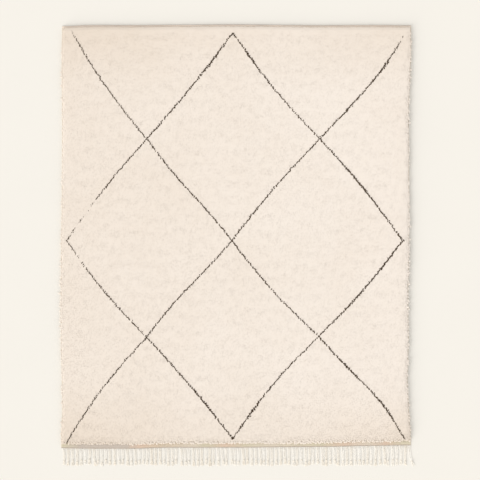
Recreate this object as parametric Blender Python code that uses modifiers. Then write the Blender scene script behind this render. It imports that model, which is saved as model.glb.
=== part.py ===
"""A beni ourain rug that lies flat: a thick knotted pile field, a narrow flat-woven band
at its head, a wider one at its foot, and one comb of knotted warp ends along the foot.

Metres, +Z up. The origin is on the underside, in the middle of the woven rug. +X runs
across the rug and +Y along it, from the fringed foot to the head.
"""

import math
import random
from collections import namedtuple

import bmesh
import bpy
from mathutils import Vector, noise

# Driving dimensions.
WIDTH = 2.00
PILE_LENGTH = 2.394  # the knotted field alone
FOOT_BAND = 0.029  # length of the flat weave at the foot
HEAD_BAND = 0.014  # and at the head
FRINGE_LENGTH = 0.110  # from the foot's nominal line to the longest tips
RUG_THICKNESS = 0.024  # ground weave and standing pile
BAND_THICKNESS = 0.004
FRINGE_THICKNESS = 0.005
GAP = 0.0003  # between pieces that touch

# The pile field's top: it rounds over at the edges and is nowhere quite level.
EDGE_DROP = 0.010
EDGE_REACH = 0.014
RIPPLE = 0.0014
RIPPLES_PER_METRE = 3.5
FIELD_ROWS = 36

# Every piece turns its seams at the same places across the rug, so that they match.
COLUMNS = 32
BAND_EDGE_RADIUS = 0.001

# The fringe: bundles of warp ends, each tied in one knot.
STRANDS = 84
FIRST_STRAND = 0.022  # from the rug's left edge
LAST_STRAND = 0.010  # from its right edge
HEADER = 0.006  # where the strands are still held together
STRAND_LEAN = 0.0045  # most that a tip strays sideways
STRAND_SHORTFALL = 0.010  # most that a strand falls short of the fringe's length
LAST_STRAND_FLARE = 0.026  # the outermost strand on the right splays out
STRAND_SEED = 11

LENGTH = FOOT_BAND + PILE_LENGTH + HEAD_BAND

# How far the long sides stand out from half the width, by share of the length from the foot.
Side = namedtuple("Side", "at left right")
SIDES = (
    Side(at=0.00, left=0.000, right=0.014),
    Side(at=0.04, left=0.004, right=0.007),
    Side(at=0.08, left=-0.003, right=0.000),
    Side(at=0.16, left=0.000, right=-0.010),
    Side(at=0.25, left=0.005, right=-0.003),
    Side(at=0.36, left=0.006, right=-0.006),
    Side(at=0.45, left=0.004, right=0.000),
    Side(at=0.60, left=0.000, right=0.001),
    Side(at=0.80, left=-0.002, right=-0.003),
    Side(at=0.87, left=0.000, right=0.006),
    Side(at=0.94, left=0.001, right=0.012),
    Side(at=1.00, left=-0.003, right=0.010),
)

# How far the ends stray towards the head, by share of the width from the left.
End = namedtuple("End", "at foot head")
ENDS = (
    End(at=0.00, foot=-0.003, head=-0.006),
    End(at=0.08, foot=-0.006, head=0.000),
    End(at=0.22, foot=-0.006, head=-0.001),
    End(at=0.30, foot=0.000, head=0.001),
    End(at=0.50, foot=0.000, head=0.003),
    End(at=0.65, foot=0.003, head=0.000),
    End(at=0.75, foot=0.004, head=-0.002),
    End(at=0.88, foot=0.010, head=0.000),
    End(at=1.00, foot=0.013, head=-0.002),
)

# Half the width of a strand, by share of its length from the header to its tips.
Girth = namedtuple("Girth", "at half_width")
STRAND = (
    Girth(at=0.00, half_width=0.0040),
    Girth(at=0.64, half_width=0.0028),
    Girth(at=0.71, half_width=0.0055),
    Girth(at=0.79, half_width=0.0030),
    Girth(at=1.00, half_width=0.0050),
)
TAIL_NOTCH = 0.88  # the two tails part here


def eased(table, column, at):
    """The column's value at this share of the way, eased from each row to the next."""
    for low, high in zip(table, table[1:]):
        if at <= high.at:
            step = max(0.0, (at - low.at) / (high.at - low.at))
            ease = step * step * (3 - 2 * step)
            return getattr(low, column) * (1 - ease) + getattr(high, column) * ease
    return getattr(table[-1], column)


def foot_line(across):
    return -LENGTH / 2 + eased(ENDS, "foot", across)


def head_line(across):
    return LENGTH / 2 + eased(ENDS, "head", across)


def foot_seam(across):
    return foot_line(across) + FOOT_BAND


def head_seam(across):
    return head_line(across) - HEAD_BAND


def on_floor(across, y):
    """The point at this share of the width, this far along the rug."""
    along = y / LENGTH + 0.5
    left = -WIDTH / 2 - eased(SIDES, "left", along)
    right = WIDTH / 2 + eased(SIDES, "right", along)
    return Vector((left + (right - left) * across, y, 0))


def crowded(share):
    """Moves shares towards both ends, so that rows lie closest together at the edges."""
    return 0.5 - 0.5 * math.cos(math.pi * share)


def pile_top(point, across, along):
    """Height of the pile's tips: lower at the edges, with a slow ripple all over."""
    to_edge = min(
        min(across, 1 - across) * WIDTH,
        min(along, 1 - along) * PILE_LENGTH,
    )
    ripple = RIPPLE * noise.noise(point * RIPPLES_PER_METRE)
    return RUG_THICKNESS - EDGE_DROP * math.exp(-to_edge / EDGE_REACH) + ripple


def band_top(point, across, along):
    return BAND_THICKNESS


def yarn(name, colour, roughness):
    """A plain dyed or undyed yarn."""
    material = bpy.data.materials.new(name)
    material.use_nodes = True
    shader = material.node_tree.nodes["Principled BSDF"]
    shader.inputs["Base Color"].default_value = (*colour, 1)
    shader.inputs["Roughness"].default_value = roughness
    shader.inputs["Metallic"].default_value = 0.0
    material.diffuse_color = (*colour, 1)
    return material


def add_object(name, data, material, collection):
    data.materials.append(material)
    piece = bpy.data.objects.new(name, data)
    collection.objects.link(piece)
    return piece


def flat_piece(name, near, far, rows, top, material, collection):
    """A closed piece that lies on the floor between two lines across the rug."""
    shape = bmesh.new()
    bmesh.ops.create_grid(shape, x_segments=COLUMNS, y_segments=rows, size=0.5)
    lid = shape.faces[:]
    raised = bmesh.ops.extrude_face_region(shape, geom=lid, use_keep_orig=True)
    upper = {item for item in raised["geom"] if isinstance(item, bmesh.types.BMVert)}
    for vert in shape.verts:
        across = crowded(vert.co.x + 0.5)
        along = crowded(vert.co.y + 0.5)
        start, stop = near(across), far(across)
        point = on_floor(across, start + (stop - start) * along)
        height = top(point, across, along) if vert in upper else 0.0
        vert.co = point + Vector((0, 0, height))
    bmesh.ops.dissolve_faces(shape, faces=lid)
    bmesh.ops.recalc_face_normals(shape, faces=shape.faces)
    mesh = bpy.data.meshes.new(name)
    shape.to_mesh(mesh)
    shape.free()
    return add_object(name, mesh, material, collection)


def pile_field(material, collection):
    """The knotted field, from the one band to the other."""
    field = flat_piece(
        "pile_field", foot_seam, head_seam, FIELD_ROWS, pile_top, material, collection
    )
    field.data.shade_smooth()
    field.data.set_sharp_from_angle(angle=math.radians(40))
    return field


def band(name, near, far, material, collection):
    """A flat-woven band with softly rounded edges."""
    piece = flat_piece(name, near, far, 1, band_top, material, collection)
    rounding = piece.modifiers.new("rounded edges", "BEVEL")
    rounding.width = BAND_EDGE_RADIUS
    rounding.segments = 2
    rounding.limit_method = "ANGLE"
    rounding.angle_limit = math.radians(40)
    return piece


def strand_outline(root, length, lean):
    """The points round one strand, down its left side and up its right side."""

    def at(share, sideways):
        stray = lean * share * share
        return Vector((root.x + stray + sideways, root.y - length * share, 0))

    left = [at(row.at, -row.half_width) for row in STRAND]
    right = [at(row.at, row.half_width) for row in reversed(STRAND)]
    return [*left, at(TAIL_NOTCH, 0), *right]


def fringe_outline():
    """The comb's outline: strand after strand to the right, then back along the header."""
    rng = random.Random(STRAND_SEED)
    down = Vector((0, -HEADER, 0))
    columns = [crowded(number / COLUMNS) for number in range(COLUMNS + 1)]
    header = [on_floor(across, foot_line(across) - GAP) for across in columns]
    strands = []
    for number in range(STRANDS):
        from_left = number / (STRANDS - 1)
        x = FIRST_STRAND + (WIDTH - FIRST_STRAND - LAST_STRAND) * from_left
        across = x / WIDTH
        root = on_floor(across, foot_line(across)) + down
        lean = rng.uniform(-STRAND_LEAN, STRAND_LEAN)
        if number == STRANDS - 1:
            lean = LAST_STRAND_FLARE
        to_longest = root.y + LENGTH / 2 + FRINGE_LENGTH  # the tips end on a straight line
        length = to_longest - rng.uniform(0, STRAND_SHORTFALL)
        strands += strand_outline(root, length, lean)
    return [header[0] + down, *strands, header[-1] + down, *reversed(header)]


def fringe(material, collection):
    """One comb of knotted warp ends, flat on the floor."""
    outline = bpy.data.curves.new("fringe", "CURVE")
    outline.dimensions = "2D"
    outline.fill_mode = "BOTH"
    outline.extrude = FRINGE_THICKNESS / 2
    points = fringe_outline()
    spline = outline.splines.new("POLY")
    spline.points.add(len(points) - 1)
    for place, point in zip(spline.points, points):
        place.co = (*point, 1)
    spline.use_cyclic_u = True
    comb = add_object("fringe", outline, material, collection)
    comb.location.z = FRINGE_THICKNESS / 2
    return comb


def main():
    for old in list(bpy.data.objects):
        bpy.data.objects.remove(old, do_unlink=True)
    rug = bpy.data.collections.new("beni_ourain_rug")
    bpy.context.scene.collection.children.link(rug)

    ivory_wool = yarn("ivory_wool", (0.90, 0.82, 0.73), 0.95)
    tan_weft = yarn("tan_weft", (0.68, 0.56, 0.43), 0.90)
    cotton_warp = yarn("cotton_warp", (0.93, 0.88, 0.79), 0.90)

    pile_field(ivory_wool, rug)
    band("foot_band", foot_line, lambda across: foot_seam(across) - GAP, tan_weft, rug)
    band("head_band", lambda across: head_seam(across) + GAP, head_line, tan_weft, rug)
    fringe(cotton_warp, rug)


main()
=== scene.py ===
# %% [markdown]
# # A beni ourain rug
#
# The rug is hand-knotted in undyed wool: thick ivory pile with one lattice of large diamonds
# in dark natural wool, a narrow flat-woven band at each end, and a fringe of knotted warp
# ends at its foot. The engineering model gives each piece a plain solid. This script puts the
# real textile in their place, piece by piece, in the same frame: metres, +Z up, +X across
# the rug and +Y from its fringed foot to its head.

# %% Load the frame
import math
from collections import namedtuple

import bmesh
import bpy
import numpy as np
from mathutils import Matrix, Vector
from mathutils.bvhtree import BVHTree


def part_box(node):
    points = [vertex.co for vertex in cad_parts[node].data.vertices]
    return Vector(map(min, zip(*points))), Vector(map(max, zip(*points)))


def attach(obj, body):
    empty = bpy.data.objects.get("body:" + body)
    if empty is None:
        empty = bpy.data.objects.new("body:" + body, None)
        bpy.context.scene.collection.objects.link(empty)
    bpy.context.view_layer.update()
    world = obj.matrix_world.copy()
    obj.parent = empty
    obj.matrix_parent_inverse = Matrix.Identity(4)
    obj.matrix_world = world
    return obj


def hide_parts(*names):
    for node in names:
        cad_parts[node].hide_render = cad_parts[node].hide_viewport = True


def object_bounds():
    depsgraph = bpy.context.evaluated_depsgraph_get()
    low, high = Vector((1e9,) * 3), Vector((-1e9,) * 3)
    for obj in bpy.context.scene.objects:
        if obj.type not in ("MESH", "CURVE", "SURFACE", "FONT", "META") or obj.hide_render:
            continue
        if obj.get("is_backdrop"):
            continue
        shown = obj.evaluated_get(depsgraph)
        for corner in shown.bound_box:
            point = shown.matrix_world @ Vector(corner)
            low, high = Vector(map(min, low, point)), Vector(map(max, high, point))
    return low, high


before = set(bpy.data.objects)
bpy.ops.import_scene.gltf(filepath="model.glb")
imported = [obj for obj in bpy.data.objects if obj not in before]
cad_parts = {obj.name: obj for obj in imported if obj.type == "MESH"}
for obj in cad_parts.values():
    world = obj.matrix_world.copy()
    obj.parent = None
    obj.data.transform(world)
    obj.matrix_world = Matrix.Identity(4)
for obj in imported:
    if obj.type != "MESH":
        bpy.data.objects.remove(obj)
cad_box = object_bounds()
print("frame:", ", ".join(sorted(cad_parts)))

# %% [markdown]
# ## The outline
#
# A rug made by hand is never a true rectangle. The solids already have the real, slightly
# wandering outline, so nothing here repeats it as numbers: each edge is read off the
# underside of a solid, where it touches the floor, and turned into a function with
# `np.interp`. Every piece below is fitted between these six lines.

# %% Read the edges off the solids
TOUCHING = 0.0002  # a corner this low lies on the floor
CORNER = 0.03  # the sides are read this far from the corners


def read_points(mesh):
    """The mesh's corners, one row of x, y and z each."""
    points = np.empty(len(mesh.vertices) * 3, np.float32)
    mesh.vertices.foreach_get("co", points)
    return points.reshape(-1, 3)


def underside(name):
    """The corners of this solid's outline on the floor, one row of x and y each."""
    points = read_points(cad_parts[name].data)
    return points[points[:, 2] < TOUCHING][:, :2].astype(float)


def edge(points, along):
    """The edge as a function: along 0, its y at an x; along 1, its x at a y."""
    ordered = points[np.argsort(points[:, along])]
    return lambda at: np.interp(at, ordered[:, along], ordered[:, 1 - along])


def halves(points):
    """The points nearer the foot, and those nearer the head."""
    middle = (points[:, 1].min() + points[:, 1].max()) / 2
    return points[points[:, 1] < middle], points[points[:, 1] > middle]


field = underside("pile_field")
(field_left, field_foot), (field_right, field_head) = field.min(axis=0), field.max(axis=0)
inner = field[(field[:, 1] > field_foot + CORNER) & (field[:, 1] < field_head - CORNER)]
left_side = edge(inner[inner[:, 0] < field_left + CORNER], along=1)
right_side = edge(inner[inner[:, 0] > field_right - CORNER], along=1)
foot_line, foot_seam = (edge(half, along=0) for half in halves(underside("foot_band")))
head_seam, head_line = (edge(half, along=0) for half in halves(underside("head_band")))

WIDTH = float(right_side(0.0) - left_side(0.0))
PILE_LENGTH = float(head_seam(0.0) - foot_seam(0.0))
RUG_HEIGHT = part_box("pile_field")[1].z
BAND_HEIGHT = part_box("foot_band")[1].z
print(f"knotted field {WIDTH:.3f} by {PILE_LENGTH:.3f} m, {RUG_HEIGHT * 1000:.1f} mm thick")


# %% [markdown]
# ## Floor, light and camera
#
# A pale rug on a pale floor has almost no contrast of its own, so the light decides what is
# seen. A bright sky all round keeps the pile soft and open. One broad, low sun from the
# foot's left end adds the narrow shadows along the right side and the head, and the small
# ones beside each strand of the fringe. The camera looks straight down from far away with a
# long lens, so the rug's sides stay parallel.


# %% A floor that is plain but not dead flat in colour
def new_material(name):
    """An empty material: its node tree and its shader, already joined to the output."""
    material = bpy.data.materials.new(name)
    material.use_nodes = True
    tree = material.node_tree
    tree.nodes.clear()
    shader = tree.nodes.new("ShaderNodeBsdfPrincipled")
    output = tree.nodes.new("ShaderNodeOutputMaterial")
    tree.links.new(shader.outputs["BSDF"], output.inputs["Surface"])
    return material, tree, shader


def feed(tree, socket, value):
    """Gives a socket its value: a link from another node's socket, or a plain one."""
    if isinstance(value, bpy.types.NodeSocket):
        tree.links.new(value, socket)
    else:
        socket.default_value = value


def add_node(tree, kind, values=(), **settings):
    """A node with its settings and the values of its sockets."""
    node = tree.nodes.new("ShaderNode" + kind)
    for name, value in settings.items():
        setattr(node, name, value)
    for name, value in dict(values).items():
        feed(tree, node.inputs[name], value)
    return node


def object_place(tree):
    return tree.nodes.new("ShaderNodeTexCoord").outputs["Object"]


FLOOR_SPAN = 60.0
FLOOR_DROP = 0.0004  # the floor lies this far under the rug, so that no two faces fight

shape = bmesh.new()
bmesh.ops.create_grid(shape, x_segments=1, y_segments=1, size=FLOOR_SPAN / 2)
bmesh.ops.translate(shape, verts=shape.verts, vec=(0, 0, -FLOOR_DROP))
floor_mesh = bpy.data.meshes.new("floor")
shape.to_mesh(floor_mesh)
shape.free()
floor = bpy.data.objects.new("floor", floor_mesh)
bpy.context.scene.collection.objects.link(floor)
floor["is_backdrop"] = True

paper, tree, shader = new_material("warm_white_floor")
mottle = add_node(tree, "TexNoise", {"Vector": object_place(tree), "Scale": 2.5, "Detail": 3.0})
tone = add_node(tree, "ValToRGB", {"Fac": mottle.outputs["Fac"]})
tone.color_ramp.elements[0].color = (0.843, 0.812, 0.753, 1)
tone.color_ramp.elements[1].color = (0.857, 0.826, 0.767, 1)
tree.links.new(tone.outputs["Color"], shader.inputs["Base Color"])
shader.inputs["Roughness"].default_value = 0.9
shader.inputs["Specular IOR Level"].default_value = 0.1
floor_mesh.materials.append(paper)

# %% A bright sky, one broad sun and the camera
SKY_STRENGTH = 0.86
SUN_STRENGTH = 2.47
SUN_WIDTH = math.radians(36)
SUN_FROM = Vector((-0.75, -0.85, 0.37))
VIEW_WIDTH = 2.767  # metres of floor across the picture
VIEW_CENTRE = Vector((0.026, -0.0216, 0))
LENS = 100.0  # millimetres
SENSOR = 36.0

world = bpy.data.worlds.new("soft_sky")
world.use_nodes = True
sky = world.node_tree.nodes["Background"]
sky.inputs["Color"].default_value = (1.0, 0.995, 0.985, 1)
sky.inputs["Strength"].default_value = SKY_STRENGTH
bpy.context.scene.world = world

sun = bpy.data.lights.new("broad_sun", "SUN")
sun.energy = SUN_STRENGTH
sun.angle = SUN_WIDTH
sun.color = (1.0, 0.985, 0.96)
sun_object = bpy.data.objects.new("broad_sun", sun)
sun_object.rotation_euler = SUN_FROM.to_track_quat("Z", "Y").to_euler()
bpy.context.scene.collection.objects.link(sun_object)

lens = bpy.data.cameras.new("camera")
lens.lens = LENS
lens.sensor_width = SENSOR
camera = bpy.data.objects.new("camera", lens)
camera.location = VIEW_CENTRE + Vector((0, 0, VIEW_WIDTH * LENS / SENSOR))
bpy.context.scene.collection.objects.link(camera)
bpy.context.scene.camera = camera
bpy.context.scene.view_settings.view_transform = "Standard"
print(f"camera {camera.location.z:.2f} m up")

# %% [markdown]
# ## The rows of knots
#
# On the loom the weaver ties one row of knots across the warps, beats in some weft, and ties
# the next row. The pile is therefore a grid: about 200 rows of 240 knots. Each knot's lock
# of wool leans towards the foot, over the row below, like a shingle. The grid is worked out
# here once, as arrays, because the ivory locks and the dark ones have to agree on it.

# %% Lay out the grid of knots
ROW_PITCH = 0.0120
KNOT_PITCH = 0.0083
SIDE_MARGIN = 0.0050  # the outermost knots stand this far inside the sides
FOOT_MARGIN = 0.0110  # the lowest row leans out over the foot band by about this much
HEAD_MARGIN = 0.0025

ROWS = round(PILE_LENGTH / ROW_PITCH)
KNOTS = round(WIDTH / KNOT_PITCH)


def on_field(across, along):
    """x and y of the places at these shares of the width and length of the knotted field."""
    rough_x = field_left + (field_right - field_left) * across
    low = foot_seam(rough_x) + FOOT_MARGIN
    high = head_seam(rough_x) - HEAD_MARGIN
    y = low + (high - low) * along
    left = left_side(y) + SIDE_MARGIN
    right = right_side(y) - SIDE_MARGIN
    return left + (right - left) * across, y


def drift(x, y, size, seed):
    """A smooth wandering number, about -1 to 1, that changes over this many metres."""
    rng = np.random.default_rng(seed)
    total = np.zeros(np.shape(x))
    for _ in range(7):
        turn, phase = rng.uniform(0, math.tau, 2)
        waves = rng.uniform(0.6, 1.4) * math.tau / size / 2
        total += np.sin((x * math.cos(turn) + y * math.sin(turn)) * waves + phase)
    return total / 3.2


rng = np.random.default_rng(2031)
row, knot = np.meshgrid(np.arange(ROWS), np.arange(KNOTS), indexing="ij")
row, knot = row.ravel(), knot.ravel()
step = np.where(row % 2, 0.25, -0.25)  # every second row sits between the knots of the last
across = np.clip((knot + 0.5 + step + rng.normal(0, 0.13, row.size)) / KNOTS, 0, 1)
along = (row + rng.normal(0, 0.24, row.size)) / (ROWS - 1)
knot_x, knot_y = on_field(across, np.clip(along, 0, 1))
print(f"{ROWS} rows of {KNOTS} knots")

# %% Read the height of the pile off the solid
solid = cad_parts["pile_field"].data
solid_tree = BVHTree.FromPolygons(
    [vert.co for vert in solid.vertices], [tuple(face.vertices) for face in solid.polygons]
)
DOWN = Vector((0, 0, -1))


def pile_height(x, y):
    """Height of the solid's top at each of these places."""
    heights = []
    for place in zip(x, y):
        hit = solid_tree.ray_cast(Vector((*place, 1)), DOWN)[0]
        heights.append(hit.z if hit else RUG_HEIGHT / 2)
    return np.array(heights)


knot_top = pile_height(knot_x, knot_y)
print(f"pile {knot_top.min() * 1000:.0f} to {knot_top.max() * 1000:.0f} mm high")

# %% [markdown]
# ## One lock of wool
#
# A lock is some thirty fibres cut to one length. It starts at a point in its knot, swells
# where the fibres spread, and ends in a soft tip. It is made once with bmesh operators: a
# circle of four corners, extruded twice and drawn to a point at both ends. Sixteen triangles
# are enough, because there are nearly fifty thousand locks: fewer would show corners, and more
# would be too heavy to use.


# %% Model the lock
Ring = namedtuple("Ring", "height girth")
LOCK = (
    Ring(height=0.00, girth=0.0),
    Ring(height=0.36, girth=0.80),
    Ring(height=0.76, girth=1.0),
    Ring(height=1.00, girth=0.0),
)


def ring_shape(rings, corners):
    """A closed form of unit height, lofted through rings by extruding one circle upwards."""
    shape = bmesh.new()
    bmesh.ops.create_circle(shape, cap_ends=True, segments=corners, radius=0.5)
    lid = shape.faces[:]
    for level in range(1, len(rings)):
        grown = bmesh.ops.extrude_face_region(shape, geom=lid)["geom"]
        if level > 1:  # the first face stays, to close the foot
            bmesh.ops.delete(shape, geom=lid, context="FACES_ONLY")
        lid = [item for item in grown if isinstance(item, bmesh.types.BMFace)]
        bmesh.ops.translate(shape, verts=lid[0].verts, vec=(0, 0, 1))
    for vert in shape.verts:
        ring = rings[round(vert.co.z)]
        vert.co = (vert.co.x * ring.girth, vert.co.y * ring.girth, ring.height)
    bmesh.ops.remove_doubles(shape, verts=shape.verts, dist=1e-5)
    bmesh.ops.recalc_face_normals(shape, faces=shape.faces)
    return shape


lock_shape = ring_shape(LOCK, corners=4)
print(len(lock_shape.verts), "corners,", len(lock_shape.faces), "faces in a lock")

# %% [markdown]
# ## Many copies in one mesh
#
# Fifty thousand separate objects would be slow, and could not be used again. Instead each
# template is copied with arrays into one mesh: its corners are worked out for every copy at
# once, and its faces are repeated with the numbers of their corners moved on. The mesh also
# carries three things for its material: `shade`, one random number for each copy; `tip`, how
# far up the copy a corner lies; and a UV map that gives each copy its own small tile.

#
# One more thing makes it look like wool. Light passes through fine fibres, so a lock has no
# dark side, as a plastic one would. The normals, which tell the renderer how a surface
# faces, are turned most of the way up towards the pile's own surface. Near the rug's edges
# they keep more of their own turn, so that the rug still looks thick from the side.

# %% A helper that joins the copies
Template = namedtuple("Template", "points corners starts")


def template_of(shape):
    """The shape's corners and faces as arrays. Its own z runs from 0 to 1."""
    shape.verts.index_update()
    points = np.array([vert.co for vert in shape.verts])
    corners = [vert.index for face in shape.faces for vert in face.verts]
    sizes = [len(face.verts) for face in shape.faces]
    shape.free()
    return Template(points, np.array(corners), np.cumsum([0, *sizes[:-1]]))


def joined(name, template, places, shade, tiles):
    """One mesh from copies of the template.

    places holds every corner of every copy; tiles, the left, foot, width and height of
    each copy's tile in the UV map.
    """
    copies, corners_each = places.shape[:2]
    turn = np.arange(copies)[:, None]
    corners = (template.corners + turn * corners_each).ravel()
    starts = (template.starts + turn * len(template.corners)).ravel()
    mesh = bpy.data.meshes.new(name)
    mesh.vertices.add(copies * corners_each)
    mesh.vertices.foreach_set("co", places.astype(np.float32).ravel())
    mesh.loops.add(len(corners))
    mesh.loops.foreach_set("vertex_index", corners.astype(np.int32))
    mesh.polygons.add(len(starts))
    mesh.polygons.foreach_set("loop_start", starts.astype(np.int32))
    mesh.update()
    mesh.polygons.foreach_set("use_smooth", np.ones(len(starts), bool))
    side, depth, up = template.points.T
    spread = np.ptp(side) or 1
    u = tiles[:, [0]] + tiles[:, [2]] * (0.5 + 0.8 * side / spread)
    v = tiles[:, [1]] + tiles[:, [3]] * (0.08 + 0.80 * up + 0.06 * (depth / spread + 0.5))
    uv = np.stack([u, v], axis=-1).reshape(-1, 2)[corners]
    mesh.uv_layers.new(name="OFBake").data.foreach_set("uv", uv.astype(np.float32).ravel())
    for label, value in (("shade", np.repeat(shade, corners_each)), ("tip", np.tile(up, copies))):
        layer = mesh.attributes.new(label, "FLOAT", "POINT")
        layer.data.foreach_set("value", value.astype(np.float32))
    return mesh


def square_tiles(count):
    """Equal tiles for this many copies, row by row in one square."""
    across = math.ceil(math.sqrt(count))
    tile = np.arange(count)
    size = np.full(count, 1 / across)
    return np.stack([tile % across / across, tile // across / across, size, size], axis=1)


SOFTENED = 0.93  # how far a lock's shading is turned upwards, towards the pile's own surface
EDGE_KEPT = 0.4  # the share of a lock's own shading that comes back at the pile's edges
EDGE_REACH = 0.010  # how far in from the edges


def soften(mesh, share):
    """Turns the normals upwards by this share, one number or one for each corner."""
    normals = np.empty(len(mesh.vertices) * 3, np.float32)
    mesh.vertex_normals.foreach_get("vector", normals)
    share = np.reshape(share, (-1, 1))
    normals = normals.reshape(-1, 3) * (1 - share) + share * np.array([0, 0, 1])
    normals /= np.linalg.norm(normals, axis=1, keepdims=True)
    mesh.normals_split_custom_set_from_vertices(normals)


def soften_pile(mesh):
    """Softens the field, and leaves its outer edges to face the floor beside the rug."""
    x, y, _ = read_points(mesh).T
    to_side = np.minimum(x - left_side(y), right_side(y) - x)
    to_end = np.minimum(y - foot_seam(x), head_seam(x) - y)
    inside = np.clip(np.minimum(to_side, to_end), 0, None)
    soften(mesh, SOFTENED * (1 - EDGE_KEPT * np.exp(-inside / EDGE_REACH)))


def rug_piece(name, mesh, material):
    """An object for the mesh that rides on the rug and takes its finish from this slot."""
    mesh.materials.append(material)
    piece = bpy.data.objects.new(name, mesh)
    bpy.context.scene.collection.objects.link(piece)
    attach(piece, "root")
    mesh.calc_loop_triangles()
    print(f"{name}: {len(mesh.loop_triangles)} triangles")
    return piece


# %% [markdown]
# A lock rises steeply out of its knot and then bends over. Both curves are simple powers of
# how far up the lock a corner is: the lean grows slowly at first, the height quickly. The
# lock's depth is laid off at right angles to that bend, so that it stays equally thick.

# %% Bend each lock the way it leans
lock = template_of(lock_shape)
LEAN_CURVE = 1.4  # a lock stands up out of its knot and bends over towards its tip
RISE_CURVE = 2.2  # and gains nearly all its height in its lower half


def bent_locks(x, y, low, high, lean, turn, width, depth, curl):
    """Every corner of every lock. turn is 0 for a lock that leans straight at the foot."""
    columns = (x, y, low, high, lean, turn, width, depth, curl)
    x, y, low, high, lean, turn, width, depth, curl = (c[:, None] for c in columns)
    side, front, up = lock.points.T
    ahead = np.stack([np.sin(turn), -np.cos(turn)])
    aside = -np.stack([np.cos(turn), np.sin(turn)])  # to the right of a lock that leans at you
    tall = high - low
    reach = lean * up**LEAN_CURVE
    rise = tall * (1 - (1 - up) ** RISE_CURVE)
    outward = lean * LEAN_CURVE * up ** (LEAN_CURVE - 1)
    upward = tall * RISE_CURVE * (1 - up) ** (RISE_CURVE - 1)
    steep = np.hypot(outward, upward) + 1e-9
    sway = curl * np.sin(up * math.pi) + side * width
    out = reach + front * depth * upward / steep
    z = low + rise - front * depth * outward / steep
    flat = np.stack([x + ahead[0] * out + aside[0] * sway, y + ahead[1] * out + aside[1] * sway])
    return np.stack([*flat, z], axis=-1)


# %% [markdown]
# ## The lattice of diamonds
#
# The pattern of these rugs is drawn by eye. Four whole diamonds meet in the middle of the
# field, and the edges cut off the rest. The arms bow and sway a little, and a line is one
# knot wide, here and there two. Where the wool around it has closed over the knots the line
# fades, most of all at the corners of the rug. Each arm below is a crossing to start from
# and one to end at; how far its middle bows to the right, and its first half beyond that;
# how full its knots are; and where along it the weaver tied a second knot beside the first,
# or the line has faded.

# %% Name the crossings and the arms
CROSSINGS = {
    "head left": (-0.950, 1.190),
    "head": (-0.015, 1.170),
    "head right": (0.965, 1.150),
    "upper left": (-0.510, 0.560),
    "upper right": (0.485, 0.560),
    "left": (-0.970, -0.025),
    "middle": (-0.020, -0.025),
    "right": (0.960, -0.025),
    "lower left": (-0.510, -0.580),
    "lower right": (0.480, -0.575),
    "foot left": (-0.980, -1.200),
    "foot": (-0.015, -1.165),
    "foot right": (0.975, -1.170),
}
Arm = namedtuple("Arm", "start end bow sway weight full faint", defaults=((), ()))
ARMS = (
    Arm("head left", "upper left", -0.020, 0.000, 0.62, faint=(0.0,)),
    Arm("head", "upper left", 0.010, 0.000, 0.80, full=(0.30,)),
    Arm("head", "upper right", -0.020, 0.000, 0.70, full=(0.22,)),
    Arm("head right", "upper right", 0.025, 0.005, 0.72, full=(0.30, 0.70), faint=(0.0,)),
    Arm("upper left", "left", -0.015, 0.000, 0.66, faint=(0.66, 0.84)),
    Arm("upper left", "middle", -0.005, -0.005, 0.70),
    Arm("upper right", "middle", -0.015, 0.000, 0.72),
    Arm("upper right", "right", 0.015, 0.000, 0.85, full=(0.45,)),
    Arm("left", "lower left", -0.020, 0.000, 0.66, faint=(0.18,)),
    Arm("middle", "lower left", -0.010, 0.005, 0.72),
    Arm("middle", "lower right", -0.020, 0.000, 0.70),
    Arm("right", "lower right", 0.015, 0.000, 0.85, full=(0.22, 0.60)),
    Arm("lower left", "foot left", -0.025, 0.000, 0.64, faint=(1.0,)),
    Arm("lower left", "foot", 0.010, 0.000, 0.78, full=(0.68,)),
    Arm("lower right", "foot", -0.025, 0.000, 0.68, full=(0.72,)),
    Arm("lower right", "foot right", 0.025, -0.010, 0.75, full=(0.30, 0.68), faint=(1.0,)),
)

# %% [markdown]
# A slanted line is woven in steps: in each row the dark knot is tied a little further along
# than in the row before. So each arm is bent as a smooth path first, and every row of knots
# then looks up where the path crosses it. Because a lock leans towards the foot, it shows
# below its knot, and the knot is tied that much higher.

# %% Tie the dark knots, row by row
LEAN = 0.0165  # how far a lock's tip lies from its knot
SEEN = 0.62  # the share of that lean at which a lock shows between its neighbours
BULGE = 0.09  # how much of an arm one stretch of double knots takes up
FADE = 0.10  # and how much of it a faint end
FULLER = 0.55  # what a full stretch adds to the girth of its locks
FAINTER = 0.45  # and what a faint one takes away
UNEVEN = 0.24  # how much the girth wanders along an arm
UNSURE = 0.0006  # how far a knot strays from the path
SHOWS_FROM = 0.24  # the ivory wool closes over a thinner lock
DOUBLE_FROM = 1.02  # a fuller line has a second knot in the row
LOCKS = (0.0, 0.33, 0.67)  # shares of a row: thick dark yarn, so a knot shows three locks
row_y = [knot_y[row == number].mean() for number in range(ROWS)]


def nearness(reached, places, width):
    """How near this share of an arm is to any of the places: 1 on one, 0 far from them."""
    return sum(math.exp(-(((reached - at) / width) ** 2)) for at in places)


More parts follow.
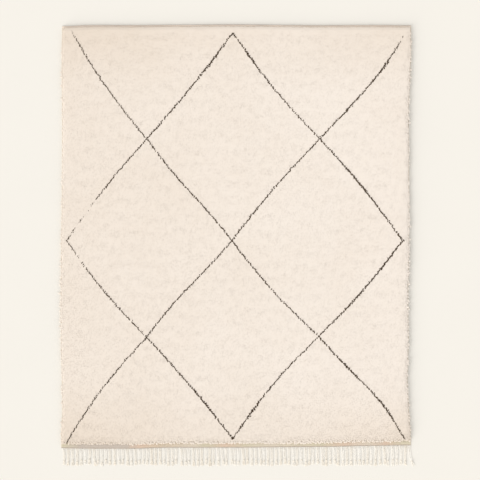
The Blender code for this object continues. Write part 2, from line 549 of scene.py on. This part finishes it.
rng = np.random.default_rng(77)
dark = []  # row, x, y and girth of each dark lock
for number, arm in enumerate(ARMS):
    start, end = (np.array(CROSSINGS[name]) for name in (arm.start, arm.end))
    run = end - start
    right = np.array([-run[1], run[0]]) / np.hypot(*run)
    share = np.linspace(0, 1, 120)[:, None]
    bent = arm.bow * np.sin(share * math.pi) + arm.sway * np.sin(share * math.tau)
    path = start + run * share + right * bent
    for this_row, y in enumerate(row_y):
        for part in LOCKS:
            lock_y = y + part * ROW_PITCH
            seen = lock_y - LEAN * SEEN
            if not end[1] <= seen <= start[1]:
                continue
            x = np.interp(-seen, -path[:, 1], path[:, 0]) + rng.normal(0, UNSURE)
            reached = (start[1] - seen) / (start[1] - end[1])
            girth = arm.weight * (1 + UNEVEN * drift(x, y * 3, 0.05, 300 + number))
            girth += rng.normal(0, 0.05)
            girth += FULLER * nearness(reached, arm.full, BULGE)
            girth -= FAINTER * nearness(reached, arm.faint, FADE)
            if girth < SHOWS_FROM:
                continue
            dark.append((this_row, x, lock_y, min(girth, 1.0)))
            if girth > DOUBLE_FROM and not part:
                beside = x + KNOT_PITCH * rng.uniform(0.45, 0.80)
                dark.append((this_row, beside, lock_y, min(girth - 0.3, 0.9)))
dark = np.array(dark)
print(len(dark), "dark locks in", len(ARMS), "arms")

# %% [markdown]
# Two locks can't stand in one place. An ivory knot that falls on a dark one isn't tied, and
# those beside it move over by what is missing.

# %% Make room for them in the ivory rows
UNTIED = 0.55  # nearer than this share of the room, an ivory knot gives way
keep = np.ones(row.size, bool)
for number in range(ROWS):
    there = dark[dark[:, 0] == number]
    if not len(there):
        continue
    here = np.flatnonzero(row == number)
    gap = knot_x[here][:, None] - there[:, 1]
    nearest = np.abs(gap).argmin(axis=1)
    gap = gap[np.arange(len(here)), nearest]
    room = KNOT_PITCH * (0.46 + 0.52 * there[nearest, 3])
    keep[here[np.abs(gap) < room * UNTIED]] = False
    close = (np.abs(gap) < room) & (np.abs(gap) >= room * UNTIED)
    knot_x[here[close]] += np.sign(gap[close]) * (room - np.abs(gap))[close]
print(row.size - keep.sum(), "ivory knots gave way")

# %% [markdown]
# ## Wool
#
# Undyed wool is never one colour. Fleeces differ, so a length of yarn may be a little
# creamier than the next, and the pile is yellower near the rug's ends, which are handled
# most. Each lock is also painted darker and a little yellower towards its root, low between
# its neighbours: that is painted shade. The material mixes these from Object coordinates and
# from the numbers that each lock carries. Sheen stands for the halo of fine fibres, and a
# small bump, drawn out along the lock, for the fibres themselves.


# %% The ivory wool
def socket_from(tree, operation, first, second, third=0.0):
    """The result of one sum, from numbers or from other nodes' sockets."""
    node = tree.nodes.new("ShaderNodeMath")
    node.operation = operation
    for socket, value in zip(node.inputs, (first, second, third)):
        feed(tree, socket, value)
    return node.outputs[0]


def mixed(tree, factor, first, second):
    """One colour laid over another by this factor."""
    node = tree.nodes.new("ShaderNodeMix")
    node.data_type = "RGBA"
    # A Mix node has sockets for numbers, vectors and colours: these are the colours'.
    for place, value in ((0, factor), (6, first), (7, second)):
        feed(tree, node.inputs[place], value)
    return node.outputs[2]


def number_from(tree, label):
    """A number that the mesh carries at its corners."""
    return add_node(tree, "Attribute", attribute_name=label).outputs["Fac"]


def ranged(tree, value, low, high, to_low=0.0, to_high=1.0):
    """value, from low to high, eased to another range."""
    values = {
        "Value": value,
        "From Min": low,
        "From Max": high,
        "To Min": to_low,
        "To Max": to_high,
    }
    return add_node(tree, "MapRange", values, interpolation_type="SMOOTHSTEP").outputs["Result"]


def fibre_bump(tree, shader, scale, stretch, strength):
    """Fine grooves drawn out along one axis."""
    place = add_node(tree, "Mapping", {"Vector": object_place(tree), "Scale": stretch})
    grain = add_node(
        tree, "TexNoise", {"Vector": place.outputs["Vector"], "Scale": scale, "Detail": 2.0}
    )
    bump = add_node(
        tree, "Bump", {"Height": grain.outputs["Fac"], "Strength": strength, "Distance": 0.001}
    )
    tree.links.new(bump.outputs["Normal"], shader.inputs["Normal"])
    return grain.outputs["Fac"]


CREAM = (0.876, 0.794, 0.715, 1)
HONEY = (0.776, 0.668, 0.560, 1)
# painted shade: the darker colour that each lock is mixed towards low down, between its neighbours
ROOT_SHADE = (0.74, 0.64, 0.53, 1)


def wool(name):
    material, tree, shader = new_material(name)
    place = object_place(tree)
    axes = add_node(tree, "SeparateXYZ", {"Vector": place})
    fleece = add_node(tree, "TexNoise", {"Vector": place, "Scale": 2.2, "Detail": 3.0})
    patch = add_node(tree, "TexNoise", {"Vector": place, "Scale": 14.0, "Detail": 2.0})
    ends = ranged(tree, socket_from(tree, "ABSOLUTE", axes.outputs["Y"], 0), 0.80, 1.20)
    sides = ranged(tree, socket_from(tree, "ABSOLUTE", axes.outputs["X"], 0), 0.35, 1.00)
    left = ranged(tree, axes.outputs["X"], 0.75, -1.05)
    corner = socket_from(tree, "MULTIPLY", ends, sides)
    honey = socket_from(tree, "MULTIPLY", ends, 0.26)
    for share, weight in (
        (corner, 0.26),
        (left, 0.30),
        (fleece.outputs["Fac"], 0.55),
        (patch.outputs["Fac"], 0.18),
        (number_from(tree, "shade"), 0.08),
    ):
        honey = socket_from(tree, "MULTIPLY_ADD", share, weight, honey)
    honey = socket_from(tree, "SUBTRACT", honey, 0.36)
    colour = mixed(tree, honey, CREAM, HONEY)
    # Painted shade: the lower part of each lock, deep in the pile, is mixed towards the darker
    # root colour.
    root = ranged(tree, number_from(tree, "tip"), 0.65, 0.10)
    colour = mixed(tree, root, colour, ROOT_SHADE)
    tree.links.new(colour, shader.inputs["Base Color"])
    grain = fibre_bump(tree, shader, 800.0, (1.0, 0.35, 0.5), 0.25)
    tree.links.new(ranged(tree, grain, 0.3, 0.7, 0.86, 1.0), shader.inputs["Roughness"])
    shader.inputs["Specular IOR Level"].default_value = 0.15
    shader.inputs["Sheen Weight"].default_value = 0.25
    shader.inputs["Sheen Roughness"].default_value = 0.5
    shader.inputs["Sheen Tint"].default_value = (1.0, 0.96, 0.90, 1)
    return material


ivory_wool = wool("ivory_wool")

# %% The dark natural wool
UMBER = (0.022, 0.013, 0.007, 1)
BARK = (0.080, 0.052, 0.028, 1)
SUNBURNT = (0.15, 0.096, 0.050, 1)  # the tips of dark wool fade first

dark_wool, tree, shader = new_material("dark_wool")
strand = add_node(tree, "TexNoise", {"Vector": object_place(tree), "Scale": 9.0, "Detail": 2.0})
age = socket_from(tree, "MULTIPLY_ADD", number_from(tree, "shade"), 0.7, -0.2)
age = socket_from(tree, "MULTIPLY_ADD", strand.outputs["Fac"], 0.8, age)
colour = mixed(tree, age, UMBER, BARK)
worn = ranged(tree, number_from(tree, "tip"), 0.70, 1.0, 0.0, 0.45)
tree.links.new(mixed(tree, worn, colour, SUNBURNT), shader.inputs["Base Color"])
fibre_bump(tree, shader, 800.0, (1.0, 0.35, 0.5), 0.25)
shader.inputs["Roughness"].default_value = 0.9
shader.inputs["Specular IOR Level"].default_value = 0.15
shader.inputs["Sheen Weight"].default_value = 0.08
shader.inputs["Sheen Roughness"].default_value = 0.5

# %% [markdown]
# ## The ground weave
#
# Under the pile lies the cloth that the knots are tied into: wool warps with a few weft
# threads beaten in between the rows. It shows only along the sides, from low down, and from
# beneath. One helper makes every flat piece of the rug: a grid is extruded into a slab, its
# lid is laid out on the floor, and its top is lifted by a height that each piece works out
# for itself.


# %% A helper for flat pieces
def slab(name, columns, rows, place, low, top):
    """A closed piece whose top is a grid. place gives x and y; top, the height there."""
    shape = bmesh.new()
    bmesh.ops.create_grid(shape, x_segments=columns, y_segments=rows, size=0.5)
    lid = shape.faces[:]
    raised = bmesh.ops.extrude_face_region(shape, geom=lid, use_keep_orig=True)["geom"]
    upper = {item for item in raised if isinstance(item, bmesh.types.BMVert)}
    share = np.array([vert.co for vert in shape.verts]) + 0.5
    x, y = place(share[:, 0], share[:, 1])
    z = top(x, y, share[:, 1])
    for vert, *spot, height in zip(shape.verts, x, y, z):
        vert.co = (*spot, height if vert in upper else low)
    bmesh.ops.dissolve_faces(shape, faces=lid)
    bmesh.ops.recalc_face_normals(shape, faces=shape.faces)
    mesh = bpy.data.meshes.new(name)
    shape.to_mesh(mesh)
    shape.free()
    mesh.shade_smooth()
    mesh.set_sharp_from_angle(angle=math.radians(50))
    return mesh


# %% The ground weave
LOCK_FOOT = 0.0030  # height of the knots, on top of the ground weave
GROUND_HEIGHT = 0.0040
WEFT_PITCH = 0.0040  # from one weft thread to the next
WARP_PITCH = 0.0060


def on_ground(across, along):
    rough_x = field_left + (field_right - field_left) * across
    y = foot_seam(rough_x) + (head_seam(rough_x) - foot_seam(rough_x)) * along
    return left_side(y) + (right_side(y) - left_side(y)) * across, y


def ground_top(x, y, along):
    return GROUND_HEIGHT + 0.0003 * drift(x, y, 0.05, 41)


def weave_bump(tree, shader, strength):
    """Weft threads that pass over and under the warps by turns."""
    axes = add_node(tree, "SeparateXYZ", {"Vector": object_place(tree)})
    picks = socket_from(tree, "MULTIPLY", axes.outputs["Y"], math.pi / WEFT_PITCH)
    warps = socket_from(tree, "MULTIPLY", axes.outputs["X"], math.pi / WARP_PITCH)
    rib = socket_from(tree, "ABSOLUTE", socket_from(tree, "SINE", picks, 0), 0)
    odd = socket_from(tree, "SIGN", socket_from(tree, "SINE", picks, 0), 0)
    over = socket_from(tree, "MULTIPLY", socket_from(tree, "SINE", warps, 0), odd)
    height = socket_from(tree, "MULTIPLY_ADD", over, 0.5, rib)
    fuzz = add_node(
        tree, "TexNoise", {"Vector": object_place(tree), "Scale": 900.0, "Detail": 2.0}
    )
    height = socket_from(tree, "MULTIPLY_ADD", fuzz.outputs["Fac"], 0.5, height)
    bump = add_node(
        tree, "Bump", {"Height": height, "Strength": strength, "Distance": 0.0006}
    )
    tree.links.new(bump.outputs["Normal"], shader.inputs["Normal"])
    return height


raw_wool, tree, shader = new_material("raw_wool_ground")
relief = weave_bump(tree, shader, 0.8)
patch = add_node(tree, "TexNoise", {"Vector": object_place(tree), "Scale": 8.0, "Detail": 3.0})
tone = mixed(tree, patch.outputs["Fac"], (0.80, 0.72, 0.60, 1), (0.70, 0.60, 0.47, 1))
# Painted shade: the hollows of the weave, between the raised threads, are mixed towards a darker
# brown.
shaded_hollow = ranged(tree, relief, 0.9, 0.1, 0.0, 0.4)
tree.links.new(mixed(tree, shaded_hollow, tone, (0.50, 0.41, 0.31, 1)), shader.inputs["Base Color"])
shader.inputs["Roughness"].default_value = 0.95
shader.inputs["Specular IOR Level"].default_value = 0.15
shader.inputs["Sheen Weight"].default_value = 0.15

mesh = slab("ground_weave", 60, 72, on_ground, 0.0, ground_top)
ground_weave = rug_piece("ground_weave", mesh, raw_wool)
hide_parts("pile_field")

# %% [markdown]
# ## The ivory pile
#
# Each lock leans towards the foot, but not all alike: walking and rolling comb the pile into
# slow swirls, small tufts clump together, and every lock has a lean, a girth and a length of
# its own. Along the sides the locks fall outwards and hide the selvedge. The pile is split
# into six strips across the rug, so that no one mesh grows too heavy.

# %% The dense lower pile, which closes the gaps between the locks
BED_DROP = 0.0020  # below the tips
BED_TIP = 0.60  # coloured as a lock is halfway up
BED_COLUMNS = 110
BED_ROWS = 130


def bed_top(x, y, along):
    return pile_height(x, y) - BED_DROP + 0.0006 * drift(x, y, 0.030, 40)


mesh = slab("pile_bed", BED_COLUMNS, BED_ROWS, on_field, LOCK_FOOT, bed_top)
soften_pile(mesh)
for label, value in (("shade", 0.5), ("tip", BED_TIP)):
    layer = mesh.attributes.new(label, "FLOAT", "POINT")
    layer.data.foreach_set("value", np.full(len(mesh.vertices), value, np.float32))
pile_bed = rug_piece("pile_bed", mesh, ivory_wool)

# %% Give every lock its own lean, girth and length
SWIRL = 0.30  # radians that the lay of the pile wanders in slow swirls,
CLUMP = 0.28  # from tuft to tuft,
STRAY = 0.22  # and from lock to lock
FALL_OUT = 0.9  # radians that the locks along the sides fall outwards
SIDE_REACH = 0.012  # how far in from the sides
HEAD_FALL = 1.6  # the last rows stand up, and fall a little over the head band
HEAD_REACH = 0.008
UNCUT = 0.0020  # the tips lie this far under the solid's top
STRIPS = 6

rng = np.random.default_rng(512)
x, y, top = knot_x[keep], knot_y[keep], pile_height(knot_x[keep], knot_y[keep])
clump = drift(x, y, 0.035, 12)
turn = SWIRL * drift(x, y, 0.55, 11) + CLUMP * clump + rng.normal(0, STRAY, x.size)
to_left = x - left_side(y)
to_right = right_side(y) - x
turn += FALL_OUT * np.exp(-to_right / SIDE_REACH) - FALL_OUT * np.exp(-to_left / SIDE_REACH)
lean = LEAN * (1 + 0.18 * drift(x, y, 0.30, 13) + rng.normal(0, 0.14, x.size))
to_head = head_seam(x) - y
lean *= 1 - HEAD_FALL * np.exp(-to_head / HEAD_REACH)
length = top - UNCUT + 0.0005 * clump + rng.normal(0, 0.0005, x.size) - LOCK_FOOT
places = bent_locks(
    x,
    y,
    np.full(x.size, LOCK_FOOT),
    LOCK_FOOT + length,
    lean,
    turn,
    width=KNOT_PITCH * rng.uniform(1.25, 1.55, x.size),
    depth=KNOT_PITCH * rng.uniform(0.60, 0.80, x.size),
    curl=rng.normal(0, 0.0009, x.size),
)
shade = rng.uniform(0, 1, x.size)
lock_row, lock_knot = row[keep], knot[keep]
rows_each = math.ceil(ROWS / STRIPS)
for strip in range(STRIPS):
    mine = lock_row // rows_each == strip
    tiles = np.stack(
        [
            lock_knot[mine] / KNOTS,
            (lock_row[mine] - strip * rows_each) / rows_each,
            np.full(mine.sum(), 1 / KNOTS),
            np.full(mine.sum(), 1 / rows_each),
        ],
        axis=1,
    )
    mesh = joined(f"pile_strip_{strip + 1}", lock, places[mine], shade[mine], tiles)
    soften_pile(mesh)
    rug_piece(mesh.name, mesh, ivory_wool)

# %% [markdown]
# The dark locks come from the same template, in the rows worked out above. They are cut with
# the rest of the pile, so they end at nearly the same height, and only their girth differs:
# it is what makes a line full in one place and faint in another.

# %% The dark locks stand in the same rows
rng = np.random.default_rng(613)
_, x, y, girth = dark.T
count = len(dark)
places = bent_locks(
    x,
    y,
    np.full(count, LOCK_FOOT),
    pile_height(x, y) - 0.0008 + rng.normal(0, 0.0004, count),
    LEAN * rng.uniform(0.80, 1.15, count),
    rng.normal(0, 0.25, count),
    width=KNOT_PITCH * 1.38 * girth,
    depth=KNOT_PITCH * rng.uniform(0.60, 0.80, count),
    curl=rng.normal(0, 0.0008, count),
)
dark_shade = rng.uniform(0, 1, count)
mesh = joined("lattice_knots", lock, places, dark_shade, square_tiles(count))
lattice_knots = rug_piece("lattice_knots", mesh, dark_wool)

# %% [markdown]
# ## The flat-woven bands
#
# Before the first row of knots and after the last one the weaver beats in a few finger
# widths of plain weft, packed so close that it hides the warps. The yarn is whatever was to
# hand, so the band drifts from grey through olive and tan to rose along its length. Its
# ribs are real relief: each pick goes over one warp and under the next, and the next pick
# the other way round. The outermost picks are twined, tighter and darker, to stop the weave
# from sliding off.

# %% Weave the bands
TWINED = 0.16  # the share of the foot band taken up by its twined edge
RIB = 0.0005
FOOT_PICKS = 7
HEAD_PICKS = 4
BAND_COLUMNS = 1000


def on_band(near, far):
    """A place function for the strip between two lines across the rug."""

    def place(across, along):
        rough_x = field_left + (field_right - field_left) * across
        y = near(rough_x) + (far(rough_x) - near(rough_x)) * along
        return left_side(y) + (right_side(y) - left_side(y)) * across, y

    return place


def band_top(picks):
    """The height of a weft-faced weave with this many picks between its two edges."""

    def top(x, y, along):
        pick = along * picks
        rib = np.abs(np.sin(pick * math.pi))
        over = np.sin(x * math.pi / WARP_PITCH + np.floor(pick) * math.pi)
        edge_round = np.clip(np.minimum(along, 1 - along) * picks * 2, 0, 1)
        return BAND_HEIGHT - 3 * RIB + RIB * (rib + 0.6 * over * rib) + RIB * edge_round

    return top


def band_mesh(name, near, far, picks):
    mesh = slab(name, BAND_COLUMNS, picks * 2, on_band(near, far), 0.0, band_top(picks))
    x, y, _ = read_points(mesh).T
    from_edge = (y - near(x)) / (far(x) - near(x))
    if near is head_seam:
        from_edge = 1 - from_edge
    mesh.attributes.new("from_edge", "FLOAT", "POINT").data.foreach_set(
        "value", from_edge.astype(np.float32)
    )
    return mesh


# %% The bands' yarn
GREY = (0.62, 0.545, 0.475, 1)
OLIVE = (0.71, 0.640, 0.480, 1)
TAN = (0.72, 0.595, 0.450, 1)
ROSE = (0.77, 0.590, 0.460, 1)
PALE = (0.76, 0.670, 0.550, 1)
# the darker twined yarn of the band's edge and of stray picks; the same colour is painted into the
# weave's hollows as painted shade
TWINE_AND_HOLLOW_SHADE = (0.46, 0.385, 0.320, 1)
HEAD_WOOL = (0.99, 0.850, 0.735, 1)
SPREAD = 2.1  # metres of band that the dyes are laid out over
DyeChange = namedtuple("DyeChange", "at colour")
DYE_CHANGES = (  # metres to the right of the rug's middle, and the yarn that starts there
    DyeChange(-0.98, OLIVE),
    DyeChange(-0.90, GREY),
    DyeChange(-0.62, GREY),
    DyeChange(-0.56, ROSE),
    DyeChange(-0.44, TAN),
    DyeChange(-0.24, PALE),
    DyeChange(-0.16, OLIVE),
    DyeChange(-0.06, ROSE),
    DyeChange(0.06, OLIVE),
    DyeChange(0.20, PALE),
    DyeChange(0.50, OLIVE),
    DyeChange(0.62, ROSE),
    DyeChange(0.78, PALE),
    DyeChange(0.86, ROSE),
    DyeChange(0.96, OLIVE),
)


def ramp(tree, factor, stops):
    node = add_node(tree, "ValToRGB", {"Fac": factor})
    elements = node.color_ramp.elements
    while len(elements) < len(stops):
        elements.new(0.5)
    for element, (position, colour) in zip(elements, stops):
        element.position = position
        element.color = colour
    return node.outputs["Color"]


band_yarn, tree, shader = new_material("band_yarn")
relief = weave_bump(tree, shader, 0.5)
axes = add_node(tree, "SeparateXYZ", {"Vector": object_place(tree)})
uneven = add_node(tree, "TexNoise", {"Vector": object_place(tree), "Scale": 14.0, "Detail": 2.0})
dye = socket_from(tree, "MULTIPLY_ADD", axes.outputs["X"], 1 / SPREAD, 0.5)
dye = socket_from(tree, "MULTIPLY_ADD", uneven.outputs["Fac"], 0.05, dye)
dye = socket_from(tree, "SUBTRACT", dye, 0.025)
stops = [(change.at / SPREAD + 0.5, change.colour) for change in DYE_CHANGES]
tone = ramp(tree, dye, stops)
at_head = ranged(tree, axes.outputs["Y"], -0.1, 0.1, 0.0, 0.88)
tone = mixed(tree, at_head, tone, HEAD_WOOL)
picks = add_node(tree, "Mapping", {"Vector": object_place(tree), "Scale": (0.04, 1.0, 0.0)})
pick = add_node(tree, "TexNoise", {"Vector": picks.outputs["Vector"], "Scale": 260.0})
tone = mixed(tree, ranged(tree, pick.outputs["Fac"], 0.4, 0.7, 0.0, 0.25), tone, TWINE_AND_HOLLOW_SHADE)
edge_share = ranged(tree, number_from(tree, "from_edge"), TWINED * 1.3, TWINED * 0.7)
tone = mixed(tree, edge_share, tone, TWINE_AND_HOLLOW_SHADE)
# Painted shade: the hollows between the ribs are mixed towards the dark twine colour.
shaded_hollow = ranged(tree, relief, 0.7, 0.0, 0.0, 0.25)
tree.links.new(mixed(tree, shaded_hollow, tone, TWINE_AND_HOLLOW_SHADE), shader.inputs["Base Color"])
tree.links.new(ranged(tree, relief, 0.0, 1.5, 1.0, 0.82), shader.inputs["Roughness"])
shader.inputs["Specular IOR Level"].default_value = 0.15
shader.inputs["Sheen Weight"].default_value = 0.15

mesh = band_mesh("foot_weave", foot_line, foot_seam, FOOT_PICKS)
foot_weave = rug_piece("foot_weave", mesh, band_yarn)
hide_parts("foot_band")
mesh = band_mesh("head_weave", head_seam, head_line, HEAD_PICKS)
head_weave = rug_piece("head_weave", mesh, band_yarn)
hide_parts("head_band")

# %% [markdown]
# ## The fringe
#
# The fringe is not sewn on: it is the warps themselves, left long when the rug was cut from
# the loom. They are gathered four and four, and each bundle is tied in one overhand knot
# that keeps the weft from working loose. Each thread here is one bent tube. A thread leaves
# the band in its own place, closes up with its neighbours, goes through the knot, and ends
# loose. The knot is one more thread that turns once and a half round the bundle.

# %% Model one straight thread
THREAD_RINGS = 14
FLATTENED = 0.6  # a soft thread that lies on the floor is wider than it is high
THREAD = tuple(
    Ring(height=number / (THREAD_RINGS - 1), girth=1.0) for number in range(THREAD_RINGS)
)
thread = template_of(ring_shape(THREAD, corners=5))


def bent_threads(paths, thickness):
    """Every corner of every thread. paths holds the same number of points for each one."""
    ahead = np.gradient(paths, axis=1)
    ahead /= np.linalg.norm(ahead, axis=2, keepdims=True)
    aside = np.cross(ahead, (0, 0, 1))
    aside /= np.linalg.norm(aside, axis=2, keepdims=True)
    above = np.cross(ahead, aside)
    side, front, up = thread.points.T
    ring = np.rint(up * (THREAD_RINGS - 1)).astype(int)
    reach = side[:, None] * aside[:, ring] + front[:, None] * FLATTENED * above[:, ring]
    return paths[:, ring] + reach * thickness


# %% Lay the bundles
FRINGE_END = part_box("fringe")[0].y
BUNDLES = 84
FIRST_BUNDLE = 0.022  # from the left side
LAST_BUNDLE = 0.010  # from the right side
THREADS = 4
THREAD_THICKNESS = 0.0036
CLOSED_UP = 0.0036  # from one thread to the next in the bundle
TUCKED = 0.004  # a thread starts this far inside the band
FLARE = 0.026  # the outermost bundle on the right splays out
UNEVEN_END = 0.012  # most that a bundle falls short of the line of the tips
KNOT_FROM, KNOT_TO = 0.68, 0.80  # shares of a bundle's length between which it is knotted
GATHERED = 0.22  # the share of its length in which a bundle closes up
KNOT_SPAN = 0.10  # and the share that its knot takes up
KNOT_TURNS = 1.5

rng = np.random.default_rng(84)
share = np.linspace(0, 1, THREAD_RINGS)
start_x = field_left + FIRST_BUNDLE
stop_x = field_right - LAST_BUNDLE
paths, knots, thread_shade = [], [], []
for bundle in range(BUNDLES):
    middle = start_x + (stop_x - start_x) * bundle / (BUNDLES - 1) + rng.normal(0, 0.0014)
    line_y = float(foot_line(middle))
    reach = line_y - FRINGE_END - rng.uniform(0, UNEVEN_END)
    knot_at = rng.uniform(KNOT_FROM, KNOT_TO)
    stray = rng.normal(0, 0.0025)
    if bundle == BUNDLES - 1:
        stray = FLARE
    sway, swing = rng.normal(0, 0.0016), rng.uniform(0, math.tau)
    tone = rng.uniform(0, 1)

    def bundle_line(at):
        return middle + stray * at**2 + sway * np.sin(at * 7 + swing) * at

    for number in range(THREADS):
        place = number - (THREADS - 1) / 2
        gather = np.clip(share / GATHERED, 0, 1)
        gather = gather * gather * (3 - 2 * gather)
        apart = WARP_PITCH * (1 - gather) + CLOSED_UP * gather
        pinch = np.exp(-(((share - knot_at) / KNOT_SPAN) ** 2))
        splay = np.clip((share - knot_at) / (1 - knot_at), 0, 1)
        apart = apart * (1 - 0.55 * pinch) + splay * rng.uniform(0, 0.0015)
        tail = reach * (1 - rng.uniform(0, 0.05))
        x = bundle_line(share) + place * apart + rng.normal(0, 0.0003) * np.sin(share * 9)
        y = line_y + TUCKED - (tail + TUCKED) * share
        lift = FLATTENED * THREAD_THICKNESS / 2 * (1.06 + 0.8 * pinch + 0.10 * rng.uniform())
        paths.append(np.stack([x, y, lift], axis=-1))
        thread_shade.append(np.clip(tone * 0.8 + rng.uniform(0, 0.2), 0, 1))
    turn = share * math.tau * KNOT_TURNS + rng.uniform(-0.5, 0.5)
    around_x = bundle_line(knot_at) + 0.0042 * np.cos(turn)
    around_y = line_y - reach * knot_at + 0.0045 * (0.5 - share) + 0.0012 * np.sin(turn)
    around_z = THREAD_THICKNESS / 2 + 0.0016 * (1 + np.sin(turn))
    knots.append(np.stack([around_x, around_y, around_z], axis=-1))
    thread_shade.append(1.0)

order = []
for bundle in range(BUNDLES):
    order += paths[bundle * THREADS : (bundle + 1) * THREADS] + [knots[bundle]]
paths = np.array(order)
thread_shade = np.array(thread_shade)
print(len(paths), "threads and knots")

# %% [markdown]
# Warp yarn is spun harder than pile yarn and plied, so it is paler, smoother and less hairy.
# Its ply is a diagonal stripe in a second UV map, `twist`, that runs round and along each
# thread. The tips are a little soiled, where the fringe is trodden on and brushed.

# %% The fringe's warp yarn
CLEAN_WARP = (0.960, 0.930, 0.875, 1)
SOILED_WARP = (0.860, 0.770, 0.640, 1)

warp_yarn, tree, shader = new_material("warp_yarn")
place = object_place(tree)
soil = add_node(tree, "TexNoise", {"Vector": place, "Scale": 16.0, "Detail": 3.0})
age = socket_from(tree, "MULTIPLY_ADD", number_from(tree, "shade"), 0.45, -0.20)
age = socket_from(tree, "MULTIPLY_ADD", soil.outputs["Fac"], 0.60, age)
near_tip = ranged(tree, number_from(tree, "tip"), 0.55, 0.9)
age = socket_from(tree, "MULTIPLY_ADD", near_tip, 0.20, age)
tone = mixed(tree, age, CLEAN_WARP, SOILED_WARP)
tree.links.new(tone, shader.inputs["Base Color"])
twist = add_node(tree, "UVMap", uv_map="twist")
spun = add_node(
    tree,
    "TexWave",
    {"Vector": twist.outputs["UV"], "Scale": 1.0, "Distortion": 0.6, "Detail": 1.0},
    wave_type="BANDS",
    bands_direction="DIAGONAL",
)
bump = add_node(tree, "Bump", {"Height": spun.outputs["Fac"], "Strength": 0.5, "Distance": 0.0008})
tree.links.new(bump.outputs["Normal"], shader.inputs["Normal"])
tree.links.new(ranged(tree, spun.outputs["Fac"], 0, 1, 0.95, 0.80), shader.inputs["Roughness"])
shader.inputs["Specular IOR Level"].default_value = 0.2
shader.inputs["Sheen Weight"].default_value = 0.2

TWIST_TURNS = 9.0  # turns of the ply along one thread
THREAD_SOFTENED = 0.40  # a firm thread keeps more of its own shading than a lock of wool
places = bent_threads(paths, THREAD_THICKNESS)
mesh = joined("fringe_threads", thread, places, thread_shade, square_tiles(len(paths)))
side, front, up = thread.points.T
around = np.arctan2(front, side) / math.tau
wound = np.stack([around, up * TWIST_TURNS], axis=-1)[thread.corners]
layer = mesh.uv_layers.new(name="twist")
layer.data.foreach_set("uv", np.tile(wound, (len(paths), 1)).astype(np.float32).ravel())
soften(mesh, THREAD_SOFTENED)
fringe_threads = rug_piece("fringe_threads", mesh, warp_yarn)
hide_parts("fringe")

# %% [markdown]
# ## The boxes round the pieces
#
# The ground weave and the two bands are sheets of cloth that lie on the floor; the pile, the
# lattice and the fringe are made of the same threads. The boxes round the solids and round
# the visual model are printed.

visual_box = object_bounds()
for name, box in (("solids", cad_box), ("visual model", visual_box)):
    print(name, "from", [round(v, 4) for v in box[0]], "to", [round(v, 4) for v in box[1]])
